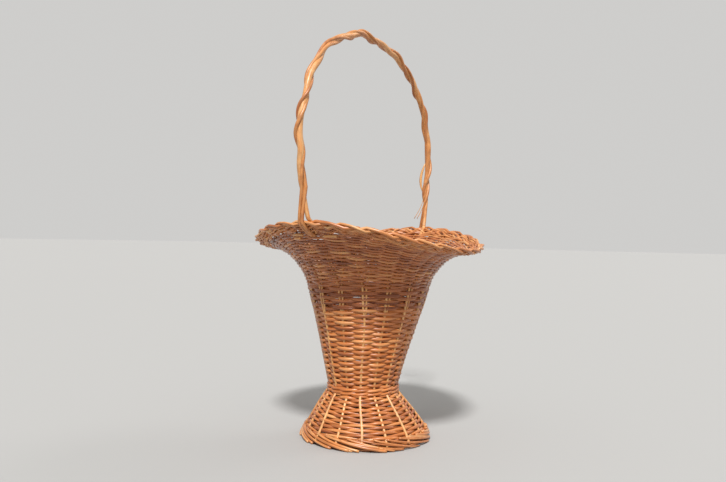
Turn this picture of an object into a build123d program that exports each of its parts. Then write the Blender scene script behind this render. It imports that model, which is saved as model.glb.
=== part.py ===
from build123d import *
import os
from math import asin, atan2, cos, degrees, hypot, pi, sin, sqrt

os.makedirs("parts", exist_ok=True)

# Flower girl basket of woven willow: a flared foot, a narrow waist that holds the base,
# a trumpet-shaped body with a ruffled rim, and a tall arched handle of three rods.
# +Z is up and the origin is the middle of the foot, on the surface it stands on.
# The handle stands in the YZ plane. Points written (r, z) are radius and height.

# Whole basket
TOTAL_HEIGHT = 600
FOOT_RADIUS = 98

# Rods
STAKE_COUNT = 16
SIDE_STAKE_D = 4.0
BYE_STAKE_D = 3.2
FOOT_STAKE_D = 4.0
BASE_STICK_D = 4.6
HANDLE_ROD_D = 6.0

# Woven walls, measured at the middle of their thickness
BODY_WALL = 8.0
FLARE_WALL = 7.0
FOOT_LOW = (88.5, 14)
FOOT_HIGH = (49, 69)
FOOT_BULGE = 3.0
BODY_LOW = (49, 79)
BODY_HIGH = (89.5, 225)
SLEW_FROM = 0.8
WALE_RADIUS = 55.5

# Flare and border. The rim is round seen from above, but it rises to the handle's feet.
FLARE_RADIUS = 147
FLARE_MEAN_Z = 290
FLARE_RISE = 14
BORDER_WIDTH = 25
BORDER_THICKNESS = 10
FOOT_BORDER_INNER = 84

# Base inside the waist
BASE_RADIUS = 44.8
BASE_LOW = 70
BASE_THICKNESS = 9
STICKS_EACH_WAY = 3
STICK_SPACING = 5.4

# Handle, measured at the middle of the bundle
HANDLE_HALF_WIDTH = 178
HANDLE_SHOULDER_Z = 435
HANDLE_SHOULDER_RADIUS = 152
HANDLE_LEG_RADIUS = 515
HANDLE_END_Z = 300

# Clearances
ROD_GAP = 0.1
CHANNEL_GAP = 0.15
FLARE_GAP = 0.3

SEAM_GAP = 0.15

# A channel runs past both edges of its wall by this share of the wall's length.
OVERRUN = 0.01

STAKE_STEP = 2 * pi / STAKE_COUNT
QUARTER = pi / 2
STAKES_A_QUARTER = STAKE_COUNT // 4
QUARTER_SECTIONS = 8


def arc_between(start, end, bulge):
    """An arc in (r, z): centre, radius, end angles, and the side that faces outwards."""
    dr, dz = end[0] - start[0], end[1] - start[1]
    chord = hypot(dr, dz)
    side = 1 if bulge > 0 else -1
    radius = (chord**2 / 4 + bulge**2) / (2 * abs(bulge))
    shift = bulge - side * radius
    centre_r = (start[0] + end[0]) / 2 + shift * dz / chord
    centre_z = (start[1] + end[1]) / 2 - shift * dr / chord
    first = atan2(start[1] - centre_z, start[0] - centre_r)
    last = atan2(end[1] - centre_z, end[0] - centre_r)
    if last - first > pi:
        last -= 2 * pi
    if first - last > pi:
        last += 2 * pi
    return centre_r, centre_z, radius, first, last, side


def on_arc(arc, share, offset=0.0):
    """The point at a share of the arc's length, moved outwards by offset."""
    centre_r, centre_z, radius, first, last, side = arc
    angle = first + share * (last - first)
    reach = radius + side * offset
    return centre_r + reach * cos(angle), centre_z + reach * sin(angle)


def heading(arc, share):
    """The unit direction of travel along the arc, in (r, z)."""
    _, _, _, first, last, _ = arc
    angle = first + share * (last - first)
    turn = 1 if last > first else -1
    return -turn * sin(angle), turn * cos(angle)


def on_body(share, offset=0.0):
    """The point at a share of the body's straight wall, moved outwards by offset."""
    dr, dz = BODY_HIGH[0] - BODY_LOW[0], BODY_HIGH[1] - BODY_LOW[1]
    length = hypot(dr, dz)
    r = BODY_LOW[0] + share * dr + offset * dz / length
    return r, BODY_LOW[1] + share * dz - offset * dr / length


def radial_plane(angle):
    """The upright plane through the axis at this angle, with (r, z) as its own x and y."""
    return Plane(origin=(0, 0, 0), x_dir=(cos(angle), sin(angle), 0), z_dir=(sin(angle), -cos(angle), 0))


def three_point(arc, low, high, offset=0.0):
    middle = (low + high) / 2
    return ThreePointArc(on_arc(arc, low, offset), on_arc(arc, middle, offset), on_arc(arc, high, offset))


def strip(arc, low, high, thickness):
    """The cross-section of a wall that follows part of an arc."""
    outer = three_point(arc, low, high, thickness / 2)
    inner = three_point(arc, low, high, -thickness / 2)
    return make_face([outer, Line(outer @ 1, inner @ 1), inner, Line(inner @ 0, outer @ 0)])


def body_strip(low, high):
    """The cross-section of part of the body's wall."""
    half = BODY_WALL / 2
    corners = [on_body(low, half), on_body(high, half), on_body(high, -half), on_body(low, -half)]
    return make_face(Polyline(*corners, close=True))


def ring(section):
    return revolve(Plane.XZ * section, Axis.Z)


def quarter_ring(section, channels):
    """One quarter of a ring with its rods' channels, and half a seam left open at each end."""
    seam = degrees(SEAM_GAP / FOOT_HIGH[0])
    return Rot(0, 0, seam / 2) * revolve(Plane.XZ * section, Axis.Z, 90 - seam) - channels


def flare_arc(angle):
    """The flare's middle line at this angle: it leaves the body smoothly and opens to the border."""
    rise = FLARE_MEAN_Z - FLARE_RISE * cos(2 * angle)
    dr, dz = FLARE_RADIUS - BODY_HIGH[0], rise - BODY_HIGH[1]
    body_dr, body_dz = BODY_HIGH[0] - BODY_LOW[0], BODY_HIGH[1] - BODY_LOW[1]
    out, up = body_dr / hypot(body_dr, body_dz), body_dz / hypot(body_dr, body_dz)
    chord = hypot(dr, dz)
    turn = asin((out * -dz + up * dr) / chord)
    return arc_between(BODY_HIGH, (FLARE_RADIUS, rise), -chord / 2 * sin(turn) / (1 + cos(turn)))


def flare_section(angle):
    """The flare's wall, clear of the body by a hair's breadth."""
    arc = flare_arc(angle)
    gap_share = FLARE_GAP / (arc[2] * abs(arc[4] - arc[3]))
    return radial_plane(angle) * strip(arc, gap_share, 1, FLARE_WALL)


def border_section(angle):
    """The rim's plaited band: flat where it meets the flare and round on its free edge."""
    arc = flare_arc(angle)
    out, up = heading(arc, 1)
    start = on_arc(arc, 1)
    half = BORDER_THICKNESS / 2

    def at(along, across):
        return start[0] + along * out + across * up, start[1] + along * up - across * out

    straight = BORDER_WIDTH - half
    edges = [
        Line(at(FLARE_GAP, -half), at(FLARE_GAP, half)),
        Line(at(FLARE_GAP, half), at(straight, half)),
        ThreePointArc(at(straight, half), at(BORDER_WIDTH, 0), at(straight, -half)),
        Line(at(straight, -half), at(FLARE_GAP, -half)),
    ]
    return radial_plane(angle) * make_face(edges)


def saddle_part(section_at, first, last):
    """Part of a ring, lofted through cross-sections that change with the angle."""
    count = round((last - first) / QUARTER * QUARTER_SECTIONS)
    return loft([section_at(first + (last - first) * i / count) for i in range(count + 1)])


def rod(path, diameter):
    """A round rod along a path of lines and tangent arcs."""
    start = Plane(origin=path @ 0, z_dir=path % 0)
    return sweep(start * Circle(diameter / 2), path=path)


def side_stake(angle, gap=0.0):
    """One upright in the body's wall, from the waist to the foot of the flare."""
    past = OVERRUN if gap else 0
    return rod(radial_plane(angle) * Line(on_body(-past), on_body(1 + past)), SIDE_STAKE_D + 2 * gap)


def bye_stake(angle, gap=0.0):
    """An extra upright halfway between two side stakes, in the slewed band only."""
    past = OVERRUN if gap else 0
    path = Line(on_body(SLEW_FROM - past), on_body(1 + past))
    return rod(radial_plane(angle) * path, BYE_STAKE_D + 2 * gap)


def foot_stake(angle, gap=0.0):
    """One spoke of the flared foot. It stops just short of the border; its channel runs through."""
    end = -OVERRUN if gap else OVERRUN
    return rod(radial_plane(angle) * three_point(FOOT_ARC, end, 1 - end), FOOT_STAKE_D + 2 * gap)


def foot_border_section():
    """The thick plait that the basket stands on, flat underneath."""
    top_outer = on_arc(FOOT_ARC, 0, BODY_WALL / 2)
    top_inner = on_arc(FOOT_ARC, 0, -BODY_WALL / 2)
    edges = [
        Line((FOOT_BORDER_INNER, 0), (FOOT_RADIUS - 3, 0)),
        ThreePointArc((FOOT_RADIUS - 3, 0), (FOOT_RADIUS, top_outer[1] / 2), top_outer),
        Line(top_outer, top_inner),
        Line(top_inner, (FOOT_BORDER_INNER, 0)),
    ]
    return make_face(edges)


def wale_section():
    """Two thick rows of rods that bind the foot to the body round the base."""
    foot_outer = on_arc(FOOT_ARC, 1, BODY_WALL / 2)
    foot_inner = on_arc(FOOT_ARC, 1, -BODY_WALL / 2)
    body_outer = on_body(0, BODY_WALL / 2)
    body_inner = on_body(0, -BODY_WALL / 2)
    bulge = (WALE_RADIUS, (foot_outer[1] + body_outer[1]) / 2)
    edges = [
        Line(foot_inner, foot_outer),
        ThreePointArc(foot_outer, bulge, body_outer),
        Line(body_outer, body_inner),
        Line(body_inner, foot_inner),
    ]
    return make_face(edges)


def base_sticks(height, turned, gap=0.0):
    """Three sticks side by side; the second set crosses over the first."""
    sticks = []
    for i in range(STICKS_EACH_WAY):
        across = (i - (STICKS_EACH_WAY - 1) / 2) * STICK_SPACING
        length = 2 * sqrt(BASE_RADIUS**2 - (abs(across) + BASE_STICK_D / 2) ** 2) - 1
        stick = Pos(0, across, height) * Rot(0, 90, 0) * Cylinder(BASE_STICK_D / 2 + gap, length + 2 * gap)
        sticks.append(Rot(0, 0, 90) * stick if turned else stick)
    return sticks


def handle_rod(outward, sideways, gap=0.0):
    """One rod of the handle: two legs, two shoulders and the crown, all tangent arcs."""
    crown_z = TOTAL_HEIGHT - HANDLE_ROD_D / 2 - BUNDLE_RADIUS
    inset = HANDLE_HALF_WIDTH - HANDLE_SHOULDER_RADIUS
    drop = HANDLE_SHOULDER_Z - crown_z
    crown_radius = (HANDLE_SHOULDER_RADIUS**2 - inset**2 - drop**2) / (2 * (drop + HANDLE_SHOULDER_RADIUS))
    crown_centre = crown_z - crown_radius
    join = atan2(HANDLE_SHOULDER_Z - crown_centre, inset)
    leg = HANDLE_LEG_RADIUS + outward
    foot = asin((HANDLE_END_Z - HANDLE_SHOULDER_Z) / leg)
    leg_centre = HANDLE_HALF_WIDTH - HANDLE_LEG_RADIUS

    def around(centre_y, centre_z, radius, first, last):
        angles = (first, (first + last) / 2, last)
        return ThreePointArc(*[(centre_y + radius * cos(a), centre_z + radius * sin(a)) for a in angles])

    shoulder = HANDLE_SHOULDER_RADIUS + outward
    crown = crown_radius + outward
    path = Wire(
        [
            around(leg_centre, HANDLE_SHOULDER_Z, leg, foot, 0),
            around(inset, HANDLE_SHOULDER_Z, shoulder, 0, join),
            around(0, crown_centre, crown, join, pi - join),
            around(-inset, HANDLE_SHOULDER_Z, shoulder, pi - join, pi),
            around(-leg_centre, HANDLE_SHOULDER_Z, leg, pi, pi - foot),
        ]
    )
    upright = Plane(origin=(sideways, 0, 0), x_dir=(0, 1, 0), z_dir=(1, 0, 0))
    return rod(upright * path, HANDLE_ROD_D + 2 * gap)


def save(name, solids):
    shape = solids[0] if len(solids) == 1 else Compound(children=solids)
    export_step(shape, f"parts/{name}.step")


FOOT_ARC = arc_between(FOOT_LOW, FOOT_HIGH, FOOT_BULGE)
BUNDLE_RADIUS = (HANDLE_ROD_D + ROD_GAP) / sqrt(3)

side_angles = [STAKE_STEP * (i + 0.25) for i in range(STAKE_COUNT)]
bye_angles = [STAKE_STEP * (i + 0.75) for i in range(STAKE_COUNT)]
rod_angles = [2 * pi * i / 3 for i in range(3)]
rod_places = [(BUNDLE_RADIUS * cos(a), BUNDLE_RADIUS * sin(a)) for a in rod_angles]

side_channels = [side_stake(angle, CHANNEL_GAP) for angle in side_angles]
bye_channels = [bye_stake(angle, CHANNEL_GAP) for angle in bye_angles]
foot_channels = [foot_stake(angle, CHANNEL_GAP) for angle in side_angles]

lower_z = BASE_LOW + (BASE_THICKNESS - BASE_STICK_D) / 2
upper_z = lower_z + BASE_STICK_D + ROD_GAP
base_weave = Pos(0, 0, BASE_LOW + BASE_THICKNESS / 2) * Cylinder(BASE_RADIUS, BASE_THICKNESS)
base_weave = base_weave - base_sticks(lower_z, False, CHANNEL_GAP) - base_sticks(upper_z, True, CHANNEL_GAP)

foot_quarter = quarter_ring(strip(FOOT_ARC, 0, 1, BODY_WALL), foot_channels[:STAKES_A_QUARTER])
body_quarter = quarter_ring(body_strip(0, SLEW_FROM), side_channels[:STAKES_A_QUARTER])
both_channels = side_channels[:STAKES_A_QUARTER] + bye_channels[:STAKES_A_QUARTER]
slewed_quarter = quarter_ring(body_strip(SLEW_FROM, 1), both_channels)
seam = SEAM_GAP / 2 / BODY_HIGH[0]
flare_quarters = [
    saddle_part(flare_section, number * QUARTER + seam, (number + 1) * QUARTER - seam) for number in range(4)
]

top_border = saddle_part(border_section, 0, pi) + saddle_part(border_section, pi, 2 * pi)
for outward, sideways in rod_places:
    top_border = top_border - handle_rod(outward, sideways, CHANNEL_GAP)
top_border = max(top_border.solids(), key=lambda solid: solid.volume)

save("foot_border", [ring(foot_border_section())])
save("waist_wale", [ring(wale_section())])
save("base_weave", [base_weave])
save("base_sticks_lower", base_sticks(lower_z, False))
save("base_sticks_upper", base_sticks(upper_z, True))
save("top_border", [top_border])
save("bye_stakes", [bye_stake(angle) for angle in bye_angles])
for number in range(4):
    turned = Rot(0, 0, 90 * number)
    save(f"foot_weave_{number + 1}", [turned * foot_quarter])
    save(f"body_weave_{number + 1}", [turned * body_quarter])
    save(f"slewed_weave_{number + 1}", [turned * slewed_quarter])
    save(f"flare_weave_{number + 1}", [flare_quarters[number]])
for number, angle in enumerate(side_angles, start=1):
    save(f"side_stake_{number:02d}", [side_stake(angle)])
    save(f"foot_stake_{number:02d}", [foot_stake(angle)])
for number, (outward, sideways) in enumerate(rod_places, start=1):
    save(f"handle_rod_{number}", [handle_rod(outward, sideways)])
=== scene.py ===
from math import atan, cos, hypot, pi, radians, sin, tan

import bpy
import numpy as np
from mathutils import Matrix, Vector


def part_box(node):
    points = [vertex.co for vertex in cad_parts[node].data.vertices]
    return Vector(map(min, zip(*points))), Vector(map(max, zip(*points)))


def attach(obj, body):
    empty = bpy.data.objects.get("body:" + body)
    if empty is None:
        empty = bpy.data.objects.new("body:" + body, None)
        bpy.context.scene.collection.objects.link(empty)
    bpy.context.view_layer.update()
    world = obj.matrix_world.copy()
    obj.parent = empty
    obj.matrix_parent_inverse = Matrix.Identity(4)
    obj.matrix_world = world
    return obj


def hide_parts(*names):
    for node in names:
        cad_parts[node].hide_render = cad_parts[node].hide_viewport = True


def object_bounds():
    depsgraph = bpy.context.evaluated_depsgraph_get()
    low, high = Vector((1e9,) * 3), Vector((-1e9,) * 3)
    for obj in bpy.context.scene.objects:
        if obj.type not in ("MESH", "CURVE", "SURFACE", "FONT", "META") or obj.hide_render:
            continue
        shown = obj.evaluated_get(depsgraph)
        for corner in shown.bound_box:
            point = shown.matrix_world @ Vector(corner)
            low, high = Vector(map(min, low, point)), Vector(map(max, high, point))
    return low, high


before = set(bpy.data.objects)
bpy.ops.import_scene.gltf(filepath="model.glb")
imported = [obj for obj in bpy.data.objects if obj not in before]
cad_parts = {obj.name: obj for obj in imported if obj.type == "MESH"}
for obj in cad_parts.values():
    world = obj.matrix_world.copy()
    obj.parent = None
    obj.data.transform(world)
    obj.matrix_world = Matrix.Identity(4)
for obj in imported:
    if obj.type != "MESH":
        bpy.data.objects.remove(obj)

# A woven willow flower girl basket. Every rod is a swept tube, and the weaving rods really pass in
# front of and behind the stakes. Lengths are metres. The walls, rims and heights come from the CAD frame.

CAD_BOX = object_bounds()
RNG = np.random.default_rng(11)

# ---------------------------------------------------------------- sizes from the frame
WALL_THICKNESS = 0.008


def top_of(node):
    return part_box(node)[1][2]


def outer_radius(node):
    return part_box(node)[1][0]


WALE_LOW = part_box("waist_wale")[0][2]
WALE_HIGH = top_of("waist_wale")
WAIST_RADIUS = outer_radius("waist_wale") - 0.0070
FOOT_BORDER_RADIUS = outer_radius("foot_border")
FOOT_BORDER_TOP = top_of("foot_border")
FOOT_LOW = (outer_radius("foot_weave_1") - WALL_THICKNESS / 2, FOOT_BORDER_TOP - 0.004)
FOOT_HIGH = (WAIST_RADIUS, WALE_LOW + 0.002)
FOOT_SWELL = 0.0012
BODY_LOW = (WAIST_RADIUS, WALE_HIGH - 0.002)
BODY_HIGH = (outer_radius("slewed_weave_1") - WALL_THICKNESS / 2, top_of("slewed_weave_1") - 0.001)
BODY_HOLLOW = 0.0016
SLEW_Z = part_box("slewed_weave_1")[0][2]
FLARE_RADIUS = outer_radius("flare_weave_1") - 0.0004
BORDER_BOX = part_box("top_border")
RIM_RADIUS = BORDER_BOX[1][0]
RIM_BAND = RIM_RADIUS - FLARE_RADIUS
RIM_TOP = BORDER_BOX[1][2]
RIM_LOW = BORDER_BOX[0][2]
RIM_AT_HANDLE = BORDER_BOX[1][1]
# The flare's upper edge, counted from the border's highest and lowest points.
FLARE_TOP_HIGH = RIM_TOP - 0.0183
FLARE_TOP_LOW = RIM_LOW + 0.0049
HANDLE_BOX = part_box("handle_rod_1")
HANDLE_RADIUS = 0.0065
BASE_LOW, BASE_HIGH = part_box("base_weave")[0][2], top_of("base_weave")
BASE_RADIUS = outer_radius("base_weave") - 0.001

# How far the handle leans inwards at even steps from its -Y foot to its +Y foot, in millimetres.
KINKS = (2, 3.5, 0, -0.5, -0.5, 4, 1.2, 1.8, -0.5, 1, 1.8, -2, 2.8, 1.5, 0.3, 1, -1.8, -1,
         -4, -3.5, -5.2, -4.6, -3.6, -4.6, -2)
# The kinks' level direction, counted from +X.
KINK_WAY = radians(32)

# Radii of the weaving rods, and the distance from one row to the next up the wall.
FOOT_ROD, FOOT_PITCH = 0.0020, 0.0037
BODY_ROD, BODY_PITCH = 0.00225, 0.0039
SLEWED_ROD, SLEWED_PITCH = 0.0015, 0.0042
FLARE_ROD, FLARE_PITCH = 0.00175, 0.0028

STAKES = 16
STEP = 2 * pi / STAKES
FIRST_STAKE = STEP / 4

# The waist stands a little to one side of the foot and the mouth.
WAIST_SHIFT = 0.005
WAIST_Z = (WALE_LOW + WALE_HIGH) / 2
SHIFT_AWAY = radians(211)


def quarters(node):
    return [f"{node}_{number}" for number in range(1, 5)]


def waist_shift(z):
    """How far the middle of the basket is off its axis at this height, as x and y."""
    below = 0.5 - 0.5 * np.cos(pi * np.clip((z - FOOT_BORDER_TOP) / (WAIST_Z - FOOT_BORDER_TOP), 0, 1))
    above = 0.5 + 0.5 * np.cos(pi * np.clip((z - WAIST_Z) / (BODY_HIGH[1] - WAIST_Z), 0, 1))
    size = WAIST_SHIFT * below * above
    return size * cos(SHIFT_AWAY), size * sin(SHIFT_AWAY)


# ---------------------------------------------------------------- rods as mesh
class Rods:
    """Collects tubes and turns them into one mesh with a tone for each rod."""

    def __init__(self, name):
        self.name = name
        self.points, self.faces, self.tone, self.uv = [], [], [], []
        self.count = 0

    def add(self, path, radius, sides=8, tone=None, flat=1.0, up=None, tips=True):
        """Sweeps a round or flattened section along path. radius, tone and flat may change along it."""
        path = np.asarray(path, float)
        n = len(path)
        radius = np.broadcast_to(np.asarray(radius, float), (n,)).copy()
        along = np.gradient(path, axis=0)
        along /= np.linalg.norm(along, axis=1)[:, None]
        side = np.zeros_like(path)
        if up is None:
            guess = np.array([0.0, 0.0, 1.0])
            if abs(along[0] @ guess) > 0.9:
                guess = np.array([1.0, 0.0, 0.0])
            vector = np.cross(guess, along[0])
            for i in range(n):
                vector = vector - along[i] * (vector @ along[i])
                vector /= np.linalg.norm(vector)
                side[i] = vector
        else:
            side = up - along * np.sum(up * along, axis=1)[:, None]
            side /= np.linalg.norm(side, axis=1)[:, None]
        third = np.cross(along, side)
        turn = np.arange(sides) * 2 * pi / sides
        flat = np.broadcast_to(np.asarray(flat, float), (n,))
        ring = (
            side[:, None, :] * np.cos(turn)[None, :, None] * (radius * flat)[:, None, None]
            + third[:, None, :] * np.sin(turn)[None, :, None] * radius[:, None, None]
        )
        points = (path[:, None, :] + ring).reshape(-1, 3)
        distance = np.concatenate([[0], np.cumsum(np.linalg.norm(np.diff(path, axis=0), axis=1))])
        rows = np.arange(n - 1)[:, None] * sides
        around = np.arange(sides)[None, :]
        after = (around + 1) % sides
        corners = [rows + around, rows + after, rows + sides + after, rows + sides + around]
        quads = np.stack(corners, axis=-1).reshape(-1, 4) + self.count
        self.faces.extend(quads.tolist())
        if tips:
            self.faces.append((self.count + np.arange(sides)[::-1]).tolist())
            self.faces.append((self.count + (n - 1) * sides + np.arange(sides)).tolist())
        tone = np.broadcast_to(np.asarray(RNG.random() if tone is None else tone, float), (n,))
        start = RNG.random() * 5
        self.points.append(points)
        self.tone.append(np.repeat(tone, sides))
        self.uv.append(np.stack([np.repeat(distance + start, sides), np.tile(turn / (2 * pi), n)], axis=1))
        self.count += len(points)

    def piece(self, material, slot, *nodes):
        """Makes the Blender object, and hides the CAD nodes it stands for."""
        mesh = bpy.data.meshes.new(self.name)
        mesh.from_pydata(np.concatenate(self.points).tolist(), [], self.faces)
        tone = mesh.attributes.new("tone", "FLOAT", "POINT")
        tone.data.foreach_set("value", np.concatenate(self.tone).astype(np.float32))
        uv = np.concatenate(self.uv).astype(np.float32)
        layer = mesh.uv_layers.new(name="rod")
        corner = np.empty(len(mesh.loops), dtype=np.int32)
        mesh.loops.foreach_get("vertex_index", corner)
        layer.data.foreach_set("uv", uv[corner].ravel())
        mesh.shade_smooth()
        mesh.materials.append(material)
        piece = bpy.data.objects.new(self.name, mesh)
        bpy.context.scene.collection.objects.link(piece)
        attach(piece, "root")
        if nodes:
            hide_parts(*nodes)
        return piece


# ---------------------------------------------------------------- willow material
# Dark, middle and pale shades, then the roughness and the gloss.
WILLOWS = {
    "woven": ((0.21, 0.045, 0.009), (0.53, 0.17, 0.040), (0.74, 0.37, 0.14), 0.40, 0.3),
    "slewed": ((0.16, 0.036, 0.009), (0.37, 0.105, 0.027), (0.56, 0.22, 0.07), 0.42, 0.3),
    "flare": ((0.18, 0.040, 0.009), (0.47, 0.145, 0.036), (0.80, 0.42, 0.16), 0.34, 0.5),
    "border": ((0.24, 0.06, 0.013), (0.54, 0.19, 0.050), (0.76, 0.42, 0.17), 0.38, 0.4),
    "stakes": ((0.28, 0.08, 0.020), (0.60, 0.27, 0.080), (0.76, 0.44, 0.18), 0.40, 0.3),
    "handle": ((0.34, 0.095, 0.022), (0.60, 0.26, 0.080), (0.74, 0.44, 0.20), 0.42, 0.25),
}


def willow(name, dark, light, pale, roughness, gloss):
    """Varnished willow: each rod has its own shade, with darker grain and paler patches along it."""
    material = bpy.data.materials.new(name)
    material.use_nodes = True
    nodes, links = material.node_tree.nodes, material.node_tree.links
    nodes.clear()
    output = nodes.new("ShaderNodeOutputMaterial")
    shader = nodes.new("ShaderNodeBsdfPrincipled")
    shader.inputs["Coat Weight"].default_value = gloss
    shader.inputs["Coat Roughness"].default_value = 0.28
    shader.inputs["Specular IOR Level"].default_value = 0.45
    links.new(shader.outputs[0], output.inputs[0])

    tone = nodes.new("ShaderNodeAttribute")
    tone.attribute_name = "tone"
    uv = nodes.new("ShaderNodeUVMap")
    uv.uv_map = "rod"
    place = nodes.new("ShaderNodeMapping")
    place.inputs["Scale"].default_value = (90, 7, 1)
    links.new(uv.outputs[0], place.inputs[0])
    shift = nodes.new("ShaderNodeCombineXYZ")
    spread = nodes.new("ShaderNodeMath")
    spread.operation = "MULTIPLY"
    spread.inputs[1].default_value = 53
    links.new(tone.outputs["Fac"], spread.inputs[0])
    links.new(spread.outputs[0], shift.inputs[2])
    links.new(shift.outputs[0], place.inputs["Location"])

    # Fine grain, drawn out along the rod.
    grain = nodes.new("ShaderNodeTexNoise")
    grain.inputs["Scale"].default_value = 1.0
    grain.inputs["Detail"].default_value = 4
    links.new(place.outputs[0], grain.inputs["Vector"])

    # Long patches of a paler shade.
    patch_place = nodes.new("ShaderNodeMapping")
    patch_place.inputs["Scale"].default_value = (22, 1.5, 1)
    links.new(uv.outputs[0], patch_place.inputs[0])
    links.new(shift.outputs[0], patch_place.inputs["Location"])
    patch = nodes.new("ShaderNodeTexNoise")
    patch.inputs["Scale"].default_value = 1.0
    patch.inputs["Detail"].default_value = 3
    links.new(patch_place.outputs[0], patch.inputs["Vector"])

    shades = nodes.new("ShaderNodeValToRGB")
    ramp = shades.color_ramp
    ramp.elements[0].position, ramp.elements[0].color = 0.0, (*dark, 1)
    ramp.elements[1].position, ramp.elements[1].color = 1.0, (*pale, 1)
    middle = ramp.elements.new(0.55)
    middle.color = (*light, 1)
    blend = nodes.new("ShaderNodeMath")
    blend.operation = "MULTIPLY_ADD"
    blend.inputs[1].default_value = 0.55
    links.new(tone.outputs["Fac"], blend.inputs[0])
    patches = nodes.new("ShaderNodeMapRange")
    patches.inputs["From Min"].default_value = 0.3
    patches.inputs["From Max"].default_value = 0.7
    patches.inputs["To Min"].default_value = 0.0
    patches.inputs["To Max"].default_value = 0.45
    links.new(patch.outputs["Fac"], patches.inputs["Value"])
    links.new(patches.outputs[0], blend.inputs[2])
    links.new(blend.outputs[0], shades.inputs["Fac"])

    streaks = nodes.new("ShaderNodeMapRange")
    streaks.inputs["From Min"].default_value = 0.35
    streaks.inputs["From Max"].default_value = 0.6
    streaks.inputs["To Min"].default_value = 0.62
    streaks.inputs["To Max"].default_value = 1.0
    links.new(grain.outputs["Fac"], streaks.inputs["Value"])
    darken = nodes.new("ShaderNodeMix")
    darken.data_type = "RGBA"
    darken.blend_type = "MULTIPLY"
    darken.inputs["Factor"].default_value = 0.75
    links.new(shades.outputs["Color"], darken.inputs["A"])
    links.new(streaks.outputs[0], darken.inputs["B"])
    links.new(darken.outputs["Result"], shader.inputs["Base Color"])

    rough = nodes.new("ShaderNodeMapRange")
    rough.inputs["To Min"].default_value = roughness + 0.12
    rough.inputs["To Max"].default_value = roughness - 0.08
    links.new(grain.outputs["Fac"], rough.inputs["Value"])
    links.new(rough.outputs[0], shader.inputs["Roughness"])

    bump = nodes.new("ShaderNodeBump")
    bump.inputs["Strength"].default_value = 0.25
    bump.inputs["Distance"].default_value = 0.0005
    links.new(grain.outputs["Fac"], bump.inputs["Height"])
    links.new(bump.outputs[0], shader.inputs["Normal"])
    return material


# ---------------------------------------------------------------- walls
def bowed(low, high, swell):
    """A wall between two (r, z) points, bowed outwards by swell: share -> point and outward normal."""
    dr, dz = high[0] - low[0], high[1] - low[1]
    length = hypot(dr, dz)

    def at(share, angle):
        bow = 4 * swell * share * (1 - share)
        lean = 4 * swell * (1 - 2 * share) / length
        out = np.array([dz, -dr]) / length
        r = low[0] + share * dr + bow * out[0]
        z = low[1] + share * dz + bow * out[1]
        normal_r = out[0] - lean * dr / length
        normal_z = out[1] - lean * dz / length
        size = np.hypot(normal_r, normal_z)
        return r, z, normal_r / size, normal_z / size

    return at


def flare_wall(share, angle):
    """The flare's wall. It leaves the body smoothly and rises to the handle's feet at +Y and -Y."""
    mean = (FLARE_TOP_HIGH + FLARE_TOP_LOW) / 2
    rise = (FLARE_TOP_HIGH - FLARE_TOP_LOW) / 2
    end_r, end_z = FLARE_RADIUS, mean - rise * np.cos(2 * angle)
    body_dr, body_dz = BODY_HIGH[0] - BODY_LOW[0], BODY_HIGH[1] - BODY_LOW[1]
    start_lean = atan(body_dr / body_dz)
    dr, dz = end_r - BODY_HIGH[0], end_z - BODY_HIGH[1]
    chord = np.hypot(dr, dz)
    half_turn = np.arctan2(dr, dz) - start_lean
    reach = chord * np.sin(half_turn * share) / np.sin(half_turn)
    way = start_lean + half_turn * share
    r = BODY_HIGH[0] + reach * np.sin(way)
    z = BODY_HIGH[1] + reach * np.cos(way)
    lean = start_lean + 2 * half_turn * share
    return r, z, np.cos(lean), -np.sin(lean)


foot_wall = bowed(FOOT_LOW, FOOT_HIGH, FOOT_SWELL)
body_wall = bowed(BODY_LOW, BODY_HIGH, -BODY_HOLLOW)


def place(wall, share, angle, offset=0.0, lift=0.0):
    """Points on a wall at the given angles, moved outwards by offset and up the wall by lift."""
    angle = np.asarray(angle, float)
    share = np.broadcast_to(np.asarray(share, float), angle.shape)
    r, z, out_r, out_z = wall(share, angle)
    r = r + out_r * offset - out_z * lift
    z = z + out_z * offset + out_r * lift + 0 * angle
    shift_x, shift_y = waist_shift(z)
    return np.stack([r * np.cos(angle) + shift_x, r * np.sin(angle) + shift_y, z], axis=-1)


def slow_noise(angle, strength, waves=(2, 3, 5)):
    """A smooth random wander that closes on itself after a full turn."""
    total = np.zeros_like(angle)
    for wave in waves:
        total += RNG.normal() * np.cos(wave * angle + RNG.random() * 2 * pi)
    return strength * total / len(waves)


def rod_tones(count, mean, spread):
    """A tone for each bulge along a row: a new rod begins every few bulges."""
    tones = []
    while len(tones) < count:
        tones += [RNG.normal(mean, spread)] * int(RNG.integers(2, 7))
    return np.clip(np.array(tones[:count]) + RNG.normal(size=count) * 0.10, 0, 1)


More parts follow.
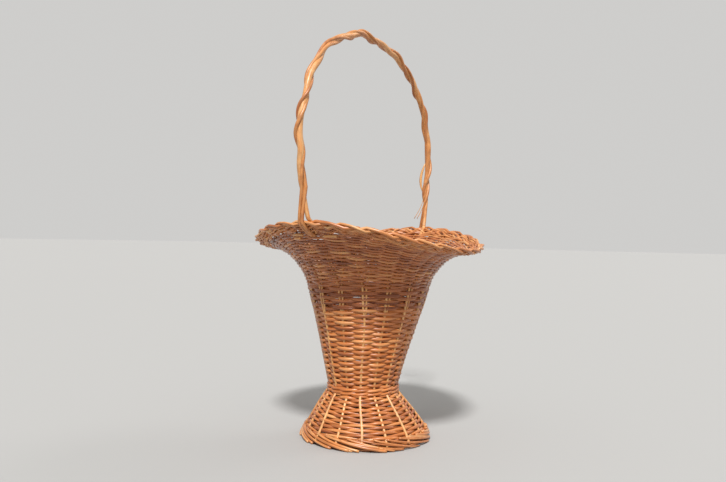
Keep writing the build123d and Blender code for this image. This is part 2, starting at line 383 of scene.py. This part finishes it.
def weave_row(rods, wall, share, stakes, phase, radius, swing, tone, samples=10, sides=8, depth=0.8,
              square=1.0, lift=0.0, wander=0.0004, bulge=0.25):
    """One row woven once round: in front of one stake and behind the next.

    The rod is thickest where it bows over a stake and slimmest where it passes behind one.
    tone is the mean and the spread of the rods' tones."""
    count = len(stakes)
    first = int(RNG.integers(count // 2)) * 2 + phase
    steps = np.linspace(first, first + count + 0.45, count * samples + samples // 2)
    knots = np.arange(-1, 2 * count + 4)
    knot_angles = stakes[knots % count] + 2 * pi * (knots // count)
    angle = np.interp(steps, knots, knot_angles)
    wave = -np.cos(pi * (steps - phase))
    wave = np.sign(wave) * np.abs(wave) ** square
    reach = 1 + 0.12 * np.interp(steps, knots, RNG.normal(size=len(knots)))
    tail = np.clip((steps - (first + count - 0.3)) / 0.6, 0, 1)
    offset = swing * wave * reach - tail * radius * 1.2
    lift = lift + slow_noise(angle, wander) + tail * radius * 0.6
    lift = lift + 0.0003 * np.interp(steps, knots, RNG.normal(size=len(knots)))
    size = radius * (1 + 0.09 * np.interp(steps, knots, RNG.normal(size=len(knots))))
    size = size * (1 + bulge * wave)
    bulges = ((steps - phase) // 2).astype(int)
    tones = rod_tones(int(bulges.max()) + 1, *tone)[bulges]
    path = place(wall, share, angle, offset, lift)
    normal = place(wall, share, angle, 0.01) - place(wall, share, angle, 0.0)
    rods.add(path, size, sides, tones, depth, normal / 0.01)


def even_angles(count, start):
    return start + np.arange(count) * 2 * pi / count


SIDE_ANGLES = even_angles(STAKES, FIRST_STAKE)


def wall_length(wall, angle=0.0):
    shares = np.linspace(0, 1, 30)
    points = place(wall, shares, np.full(30, angle))
    return float(np.linalg.norm(np.diff(points, axis=0), axis=1).sum())


# ---------------------------------------------------------------- foot
def proud(number):
    """How far a stake stands out of the weave's middle. Every second one stands further out."""
    return 0.0008 + 0.0010 * (number % 2) + 0.0003 * RNG.normal()


def build_foot(willow_weave, willow_stake, willow_border):
    rows = int(wall_length(foot_wall) / FOOT_PITCH)
    rods = Rods("foot_weave_rods")
    for row in range(rows):
        share = (row + 0.5) / rows
        weave_row(rods, foot_wall, share, SIDE_ANGLES, row % 2, FOOT_ROD, 0.0019, (0.5, 0.28), square=0.75)
    rods.piece(willow_weave, "woven_willow", *quarters("foot_weave"))

    spokes = Rods("foot_stake_rods")
    shares = np.linspace(-0.10, 1.10, 30)
    for number, angle in enumerate(SIDE_ANGLES):
        bend = angle + RNG.normal() * 0.010 * np.cos(shares * 3)
        path = place(foot_wall, shares, bend, proud(number) + 0.0005)
        spokes.add(path, 0.0020, 8, 0.70 + 0.25 * RNG.random())
    spokes.piece(willow_stake, "stake_willow", *[f"foot_stake_{i:02d}" for i in range(1, STAKES + 1)])

    build_foot_border(willow_border)


def build_foot_border(material):
    """A rolled border: long rods slant down and round over each other, outside and inside."""
    rods = Rods("foot_border_rods")
    samples = 20
    rod_radius, sweep = 0.00175, radians(50)
    top = FOOT_BORDER_TOP + 0.0005
    # The outer rods slant out to the border's edge. The inner ones, with no reach, stay inside it.
    for turn, reach in ((1, FOOT_BORDER_RADIUS), (-1, 0)):
        for number, start in enumerate(even_angles(2 * STAKES, FIRST_STAKE)):
            radius = rod_radius * (1 + 0.15 * RNG.normal())
            span = sweep * (1 + 0.16 * RNG.normal())
            run = np.linspace(0, 1, samples)
            angle = start + RNG.normal() * 0.03 + turn * span * run
            drop = run ** (1 + 0.15 * RNG.normal())
            inner = FOOT_LOW[0] + (0.0020 if reach else -0.0030)
            outer = reach - 0.0015 - radius if reach else FOOT_LOW[0] - 0.0015
            r = inner + (outer - inner) * np.sin(drop * pi * 0.58)
            if reach:
                poke = 0.0026 if number % 4 == 0 else 0.0008
                r = r + poke * np.clip((run - 0.55) / 0.45, 0, 1) * (0.6 + 0.4 * RNG.random())
            z = np.maximum(top * (1 - drop) + radius * drop, radius)
            path = np.stack([r * np.cos(angle), r * np.sin(angle), z], axis=-1)
            rods.add(path, radius, 8, np.clip(RNG.normal(0.62, 0.26), 0, 1))
    core = np.linspace(0, 2 * pi, 161)
    for level in (0.0022, 0.0056, 0.0090):
        r = FOOT_LOW[0] + 0.0008 - level * 0.2
        path = np.stack([r * np.cos(core), r * np.sin(core), np.full_like(core, level)], axis=-1)
        rods.add(path, 0.0021, 8, 0.3, tips=False)
    rods.piece(material, "border_willow", "foot_border")


# ---------------------------------------------------------------- waist and base
def build_waist(material):
    """Two rows of three-rod wale: rods that twist round the stakes like a rope."""
    rods = Rods("waist_wale_rods")
    rope_radius, lift = 0.0021, 0.0010
    shift_x, shift_y = waist_shift(WAIST_Z)
    for level in (-0.0026, 0.0026):
        steps = np.linspace(0, 3 * STAKES, 3 * STAKES * 8 + 1)
        for part in range(3):
            inside = (steps >= part * STAKES) & (steps <= (part + 1) * STAKES + 0.001)
            step = steps[inside]
            angle = FIRST_STAKE + step * STEP
            turn = 2 * pi * step / 3
            r = WAIST_RADIUS + 0.0012 + 0.0026 * np.cos(turn)
            z = WAIST_Z + level + lift * np.sin(turn)
            path = np.stack([r * np.cos(angle) + shift_x, r * np.sin(angle) + shift_y, z], axis=-1)
            rods.add(path, rope_radius, 8, 0.5 + 0.2 * RNG.random())
    rods.piece(material, "woven_willow", "waist_wale")


def build_base(weave, stick):
    """A slath of crossed sticks, opened out into spokes and woven round to the waist."""
    middle = (BASE_LOW + BASE_HIGH) / 2
    shift_x, shift_y = waist_shift(middle)
    spokes = Rods("base_stick_rods")
    stick_radius = 0.0021
    for turned in (0, 1):
        for lane in (-1, 0, 1):
            run = np.linspace(-1, 1, 41)
            fan = lane * (0.0045 + 0.021 * np.clip((np.abs(run) - 0.3) / 0.7, 0, 1))
            along = run * np.sqrt(np.maximum(BASE_RADIUS ** 2 - fan ** 2, 0))
            z = middle + (0.0019 if turned else -0.0019) * np.clip(1.6 - 2.5 * np.abs(run), 0, 1)
            x, y = (fan, along) if turned else (along, fan)
            path = np.stack([x + shift_x, y + shift_y, z], axis=-1)
            spokes.add(path, stick_radius, 8, 0.6 + 0.3 * RNG.random())
    spokes.piece(stick, "stake_willow", "base_sticks_lower", "base_sticks_upper")

    rods = Rods("base_weave_rods")
    rings, ends = 11, 12
    for ring in range(rings):
        r = 0.0145 + (BASE_RADIUS - 0.0165) * ring / (rings - 1)
        steps = np.linspace(0, ends, ends * 10 + 1)
        angle = steps * 2 * pi / ends
        z = middle + 0.0026 * np.cos(pi * (steps + ring % 2))
        wobble = r + 0.0004 * np.cos(5 * angle + ring)
        path = np.stack([wobble * np.cos(angle) + shift_x, wobble * np.sin(angle) + shift_y, z], axis=-1)
        rods.add(path, 0.0017, 6, np.clip(RNG.normal(0.45, 0.25), 0, 1), tips=False)
    rods.piece(weave, "woven_willow", "base_weave")


# ---------------------------------------------------------------- body
def build_body(weave, slewed, stake):
    """Single rods up to the slewed band, then rods in pairs, then a stake and a bye-stake side by side."""
    length = wall_length(body_wall)
    slew_share = (SLEW_Z - BODY_LOW[1]) / (BODY_HIGH[1] - BODY_LOW[1])
    rows = int(length * slew_share / BODY_PITCH)
    rods = Rods("body_weave_rods")
    for row in range(rows):
        share = slew_share * (row + 0.5) / rows
        weave_row(rods, body_wall, share, SIDE_ANGLES, row % 2, BODY_ROD, 0.0020, (0.5, 0.26), depth=0.85)
    rods.piece(weave, "woven_willow", *quarters("body_weave"))

    rods = Rods("slewed_weave_rods")
    slew_rows = int(length * (1 - slew_share) / SLEWED_PITCH)
    for row in range(slew_rows):
        share = slew_share + (1 - slew_share) * (row + 0.5) / slew_rows
        for pair in (-1, 1):
            weave_row(rods, body_wall, share, SIDE_ANGLES, (row + rows) % 2, SLEWED_ROD, 0.0019,
                      (0.42, 0.25), sides=6, square=0.6, lift=pair * 0.0011, depth=1.0, bulge=0.15)
    rods.piece(slewed, "woven_willow", *quarters("slewed_weave"))

    stakes = Rods("side_stake_rods")
    extra = Rods("bye_stake_rods")
    body_shares = np.linspace(-0.06, 0.97, 36)
    flare_shares = np.linspace(0.03, 1.12, 34)
    for number, angle in enumerate(SIDE_ANGLES):
        light = 0.78 + 0.22 * RNG.random()
        out = proud(number) + 0.0003
        lean = 0.012 * RNG.normal()
        for which, group in ((-1, stakes), (1, extra)):
            start = 0 if which < 0 else int(len(body_shares) * (slew_share - 0.03))
            shares = body_shares[start:]
            beside = 0.0024 / BODY_HIGH[0] * np.clip((shares - slew_share + 0.1) / 0.12, 0, 1)
            wander = lean * np.sin(pi * np.clip(shares, 0, 1))
            settle = out * np.clip((1.05 - shares) / 0.2, 0.2, 1)
            low = place(body_wall, shares, angle + wander + which * beside, settle)
            spread = split_angle(flare_shares)
            high = place(flare_wall, flare_shares, angle + which * spread)
            path = np.concatenate([low, high])
            thick = np.concatenate([np.full(len(low), 0.0018), np.linspace(0.0017, 0.0013, len(high))])
            tone = np.concatenate([np.full(len(low), light), np.linspace(light * 0.5, 0, len(high))])
            group.add(path, thick * (1.0 if which < 0 else 0.85), 8, tone)
    stakes.piece(stake, "stake_willow", *[f"side_stake_{i:02d}" for i in range(1, STAKES + 1)])
    extra.piece(stake, "stake_willow", "bye_stakes")


def split_angle(share):
    """How far each stake of a pair stands from the pair's middle, going up the flare."""
    beside = 0.0022 / BODY_HIGH[0]
    return beside + (STEP / 4 - beside) * np.clip(np.asarray(share) / 0.35, 0, 1)


# ---------------------------------------------------------------- flare
def build_flare(material):
    """Fine weaving, with the two stakes of each pair spread apart."""
    rods = Rods("flare_weave_rods")
    length = (wall_length(flare_wall, 0) + wall_length(flare_wall, pi / 2)) / 2
    rows = int(length / FLARE_PITCH)
    for row in range(rows):
        share = (row + 0.5) / rows
        spread = float(split_angle(share))
        stakes = np.sort(np.concatenate([SIDE_ANGLES - spread, SIDE_ANGLES + spread]))
        weave_row(rods, flare_wall, share, stakes, row % 2, FLARE_ROD, 0.0013, (0.45, 0.30), samples=7,
                  sides=6, depth=0.9, wander=0.0007)
    rods.piece(material, "woven_willow", *quarters("flare_weave"))


# ---------------------------------------------------------------- top border
def border_frame(angle):
    """The rim band at these angles: its inner edge, its direction outwards and its upper normal."""
    inner = place(flare_wall, 1.0, angle)
    _, _, out_r, out_z = flare_wall(1.0, angle)
    radial = np.stack([np.cos(angle), np.sin(angle), 0 * angle], axis=-1)
    up = np.array([0.0, 0.0, 1.0])
    outward = radial * (-out_z)[:, None] + up * out_r[:, None]
    above = -(radial * out_r[:, None] + up * out_z[:, None])
    return inner, outward, above


def plait(position, strands):
    """Where a strand of a flat plait is: across the band (-1 to 1) and above it (-1 to 1).

    position counts its full zigzags. Outward strands and inward ones pass over each other in turn."""
    step = 2 * strands * (position % 1)
    across = 1 - 2 * np.abs(step / strands - 1)
    order = np.arange(2 * strands + 1)
    level = (-1.0) ** order * np.where(order < strands, 1, -1)
    level[[0, strands, 2 * strands]] = 0
    return np.sin(across * pi / 2) * 0.6 + across * 0.4, np.interp(step, order, level)


def build_border(material):
    """A flat plait of paired rods, following the ruffled rim."""
    rods = Rods("top_border_rods")
    rod_radius, strands, lanes = 0.0019, 5, (-0.5, 0.5)
    waves, height = 6, 0.0028
    half_width = RIM_BAND / 2 - 1.8 * rod_radius
    middle = RIM_BAND / 2 - 0.0005
    samples, rod_count, overlap = 900, 8, 9
    for strand in range(strands):
        for lane in lanes:
            angle = np.linspace(0, 2 * pi, samples)
            position = waves * angle / (2 * pi) + strand / strands + slow_noise(angle, 0.04, (2, 3, 7))
            across, level = plait(position, strands)
            across = middle + half_width * across
            slope = np.gradient(across, angle) / FLARE_RADIUS
            beside = lane * rod_radius * 2.1
            angle_here = angle - beside * slope / np.hypot(1, slope) / (FLARE_RADIUS + across)
            across = across + beside / np.hypot(1, slope)
            depth = height * level + slow_noise(angle, 0.0007, (7, 11, 17))
            across = across + slow_noise(angle, 0.0012, (5, 13, 23))
            inner, outward, above = border_frame(angle_here)
            path = inner + outward * across[:, None] + above * depth[:, None]
            offset = int(RNG.integers(samples // rod_count))
            joins = [offset + samples * part // rod_count for part in range(rod_count - 1)]
            for first, last in zip([0] + joins, joins + [samples]):
                start, end = max(0, first - overlap), min(samples, last + overlap)
                size = rod_radius * (1 + 0.10 * RNG.normal())
                thick = np.linspace(size * 1.10, size * 0.86, end - start)
                rods.add(path[start:end], thick, 7, np.clip(RNG.normal(0.6, 0.3), 0, 1))
    rods.piece(material, "border_willow", "top_border")


# ---------------------------------------------------------------- handle
def handle_line(samples):
    """The bow's middle line from the -Y foot over the crown to the +Y foot, evenly spaced."""
    half_width = HANDLE_BOX[1][1] - HANDLE_RADIUS
    shoulder_radius, leg_radius, crown_rise = 0.152, 0.515, 0.1585
    crown_z = HANDLE_BOX[1][2] - HANDLE_RADIUS
    shoulder_z = crown_z - crown_rise
    inset, drop = half_width - shoulder_radius, shoulder_z - crown_z
    crown_radius = (shoulder_radius ** 2 - inset ** 2 - drop ** 2) / (2 * (drop + shoulder_radius))
    centre = crown_z - crown_radius
    join = np.arctan2(shoulder_z - centre, inset)
    leg = np.linspace(np.arcsin((RIM_TOP + 0.004 - shoulder_z) / leg_radius), 0, 80)[:-1]
    shoulder = np.linspace(0, join, 80)[:-1]
    crown = np.linspace(join, pi / 2, 60)
    y = np.concatenate([
        half_width - leg_radius + leg_radius * np.cos(leg),
        inset + shoulder_radius * np.cos(shoulder),
        crown_radius * np.cos(crown),
    ])
    z = np.concatenate([
        shoulder_z + leg_radius * np.sin(leg),
        shoulder_z + shoulder_radius * np.sin(shoulder),
        centre + crown_radius * np.sin(crown),
    ])
    y = np.concatenate([-y, y[::-1][1:]])
    z = np.concatenate([z, z[::-1][1:]])
    distance = np.concatenate([[0], np.cumsum(np.hypot(np.diff(y), np.diff(z)))])
    even = np.linspace(0, distance[-1], samples)
    return even, np.interp(even, distance, y), np.interp(even, distance, z)


def smooth_path(points, samples):
    """A Catmull-Rom curve through the points."""
    points = np.asarray(points, float)
    padded = np.vstack([2 * points[0] - points[1], points, 2 * points[-1] - points[-2]])
    result = []
    for i in range(len(points) - 1):
        a, b, c, d = padded[i:i + 4]
        t = np.linspace(0, 1, samples, endpoint=False)[:, None]
        result.append(0.5 * (2 * b + (c - a) * t + (2 * a - 5 * b + 4 * c - d) * t ** 2
                             + (3 * b - a - 3 * c + d) * t ** 3))
    result.append(points[-1:])
    return np.vstack(result)


def on_rim(side, along, r, lift):
    """A point beside the handle's foot at -Y or +Y, counted from the top of the rim."""
    angle = side * (pi / 2 + along / r)
    return r * cos(angle), r * sin(angle), RIM_TOP + lift


def foot_end(side, strand):
    """How one strand leaves the twist, goes over the border's edge and is tucked in under it.

    Two of them hug the outside of the border. The third goes straight down through the plait."""
    edge = RIM_AT_HANDLE + 0.0022
    hug = [(0.0, 0.0000, -0.0015), (0.0000, -0.0030, -0.0105), (-0.0005, -0.0105, -0.0160),
           (-0.0010, -0.0180, -0.0205), (-0.0015, -0.0260, -0.0240)]
    if strand == 0:
        route = [(-0.0065, edge - 0.0050, 0.0020), (-0.0080, edge - 0.0095, -0.0050),
                 (-0.0085, edge - 0.0170, -0.0130), (-0.0085, edge - 0.0240, -0.0200)]
        return [on_rim(side, *point) for point in route]
    beside = (0.0028, -0.0018)[strand - 1]
    return [on_rim(side, beside + along, edge + inward, lift) for along, inward, lift in hug]


def kinked(share, y, z):
    """How far each point of the handle leans from its smooth line, as x, y and z."""
    inward_y, inward_z = -np.gradient(z), np.gradient(y)
    length = np.hypot(inward_y, inward_z)
    lean = np.interp(share, np.linspace(0, 1, len(KINKS)), KINKS) / 1000
    lean = lean + np.interp(share, np.linspace(0, 1, 38), RNG.normal(size=38)) * 0.0009
    lean = np.convolve(np.pad(lean, 3, "edge"), np.ones(7) / 7, "valid")
    sideways, upwards = -lean * inward_y / length, -lean * inward_z / length
    return np.stack([sideways * cos(KINK_WAY), sideways * sin(KINK_WAY), upwards], axis=-1)


def build_handle(material, pale):
    """A thick pale rod with two thinner ones wound round it, kinked where they cross."""
    samples, pitch, keep = 480, 0.105, 22
    distance, y, z = handle_line(samples)
    total = distance[-1]
    share = distance / total
    tangent = np.stack([0 * y, np.gradient(y), np.gradient(z)], axis=-1)
    tangent /= np.linalg.norm(tangent, axis=1)[:, None]
    across = np.tile([1.0, 0.0, 0.0], (samples, 1))
    outward = np.cross(tangent, across)
    centre = np.stack([0 * y, y, z], axis=-1) + kinked(share, y, z)
    strands = [
        {"turn": 0.4, "reach": 0.0010, "radius": 0.0043, "tone": 0.70},
        {"turn": 2.3, "reach": 0.0041, "radius": 0.0022, "tone": 0.12},
        {"turn": 4.4, "reach": 0.0040, "radius": 0.0026, "tone": 0.30},
    ]
    for number, strand in enumerate(strands):
        turn = 2 * pi * total / pitch * share + strand["turn"] + 0.7 * np.sin(2 * pi * share * 4 + number)
        reach = strand["reach"] + 0.0005 * np.sin(2 * pi * share * 11 + 2 * number)
        path = centre + (across * np.cos(turn)[:, None] + outward * np.sin(turn)[:, None]) * reach[:, None]
        near = foot_end(-1, number)[::-1]
        far = foot_end(1, number)
        route = np.vstack([
            smooth_path(near + [path[keep]], 10)[:-1],
            path[keep:-keep],
            smooth_path([path[-keep - 1]] + far, 10)[1:],
        ])
        run = np.linspace(-1, 1, len(route))
        radius = strand["radius"] * (1 + 0.06 * np.sin(run * 41 + number))
        blend = np.clip((np.abs(run) - 0.74) / 0.18, 0, 1)
        radius = radius * (1 - blend) + np.minimum(radius, 0.0026) * blend
        # Each strand's tone waves along it. The +Y half is also made darker towards its foot: painted
        # shade on the +Y leg.
        tone = strand["tone"] + 0.14 * np.sin(run * 7 + 2 * number) - 0.12 * np.clip(run, 0, 1)
        rods = Rods(f"handle_rod_{number + 1}_twisted")
        rods.add(route, radius, 10, np.clip(tone, 0, 1))
        rods.piece(material, "handle_willow", f"handle_rod_{number + 1}")
    build_handle_tails(pale)
    build_loose_fibres(pale, centre)


def build_handle_tails(material):
    """The pale cut ends of the handle's rods, woven in sideways just under the border."""
    tails = Rods("handle_tail_rods")
    ends = ((0.012, 0.034, -0.0235), (-0.040, -0.018, -0.0245), (0.016, 0.030, -0.0285))
    for side in (-1, 1):
        for first, last, lift in ends:
            along = np.linspace(first, last, 9)
            bow = FLARE_RADIUS + 0.0035 - 0.0045 * np.linspace(-0.2, 1, 9) ** 2
            points = [on_rim(side, a, r, lift) for a, r in zip(along, bow)]
            tails.add(points, 0.0019, 8, 0.75 + 0.2 * RNG.random())
    tails.piece(material, "handle_willow")


def build_loose_fibres(material, centre):
    """A strip of bark that has peeled off the +Y leg, and two fibres hanging from it."""
    fibres = Rods("handle_fibres")
    run = np.linspace(0, 1, 16)
    leg = centre[-66:-4]
    even = np.linspace(0, 1, len(leg))
    middle = np.stack([np.interp(run, even, leg[:, axis]) for axis in range(3)], axis=-1)
    away = np.array([-cos(KINK_WAY), -sin(KINK_WAY), 0.0])
    peel = middle[:9] + away * (0.0045 + 0.0060 * np.sin(pi * run[:9] / run[8]))[:, None]
    fibres.add(peel, 0.0024 * np.sin(pi * (0.1 + 0.8 * run[:9] / run[8])), 6, 1.0, 0.7)
    for reach, start in ((0.012, 8), (0.007, 10)):
        hang = middle[start:] + away * (0.002 + reach * np.linspace(0, 1, 16 - start) ** 1.3)[:, None]
        fibres.add(hang, 0.0005, 5, 0.7)
    fibres.piece(material, "handle_willow")


# ---------------------------------------------------------------- room, light and camera
def build_floor():
    """A wide plain floor."""
    mesh = bpy.data.meshes.new("floor")
    half = 40.0
    low = CAD_BOX[0][2]
    mesh.from_pydata([(-half, -half, low), (half, -half, low), (half, half, low), (-half, half, low)],
                     [], [(0, 1, 2, 3)])
    material = bpy.data.materials.new("pale_floor")
    material.use_nodes = True
    shader = material.node_tree.nodes["Principled BSDF"]
    shader.inputs["Base Color"].default_value = (0.36, 0.355, 0.345, 1)
    shader.inputs["Roughness"].default_value = 0.7
    mesh.materials.append(material)
    floor = bpy.data.objects.new("floor", mesh)
    bpy.context.scene.collection.objects.link(floor)


def build_lights():
    """A pale room, a soft sun high behind the camera, and a weak one on the far side."""
    world = bpy.data.worlds.new("studio")
    bpy.context.scene.world = world
    world.use_nodes = True
    world.node_tree.nodes["Background"].inputs["Color"].default_value = (1.0, 0.99, 0.97, 1)
    world.node_tree.nodes["Background"].inputs["Strength"].default_value = 0.62
    for name, turn, height, strength, softness in (("key", -62, 52, 4.3, 8), ("rim", 60, 40, 0.5, 20)):
        light = bpy.data.lights.new(name, "SUN")
        light.energy = strength
        light.angle = radians(softness)
        lamp = bpy.data.objects.new(name, light)
        lamp.rotation_euler = Vector((cos(radians(turn)), sin(radians(turn)), tan(radians(height)))) \
            .to_track_quat("Z", "Y").to_euler()
        bpy.context.scene.collection.objects.link(lamp)


def build_camera():
    """Level but for a slight roll, and 31.5 degrees round from looking along the handle's plane."""
    azimuth, distance, height = radians(31.5), 1.08, 0.29
    camera_data = bpy.data.cameras.new("camera")
    camera_data.lens = 35.7
    camera = bpy.data.objects.new("camera", camera_data)
    camera.location = (distance * sin(azimuth), -distance * cos(azimuth), height)
    yaw = azimuth + radians(0.5)
    roll = radians(1.2)
    level = Matrix.Rotation(yaw, 4, "Z") @ Matrix.Rotation(pi / 2, 4, "X") @ Matrix.Rotation(roll, 4, "Z")
    camera.rotation_euler = level.to_euler()
    bpy.context.scene.collection.objects.link(camera)
    bpy.context.scene.camera = camera


def build():
    weave, slewed, flare, border, stake, handle = [
        willow(f"willow_{name}", *look) for name, look in WILLOWS.items()
    ]
    build_foot(weave, stake, border)
    build_waist(weave)
    build_base(weave, stake)
    build_body(weave, slewed, stake)
    build_flare(flare)
    build_border(border)
    build_handle(handle, stake)
    build_floor()
    build_lights()
    build_camera()
    bpy.context.scene.view_settings.view_transform = "Standard"


build()
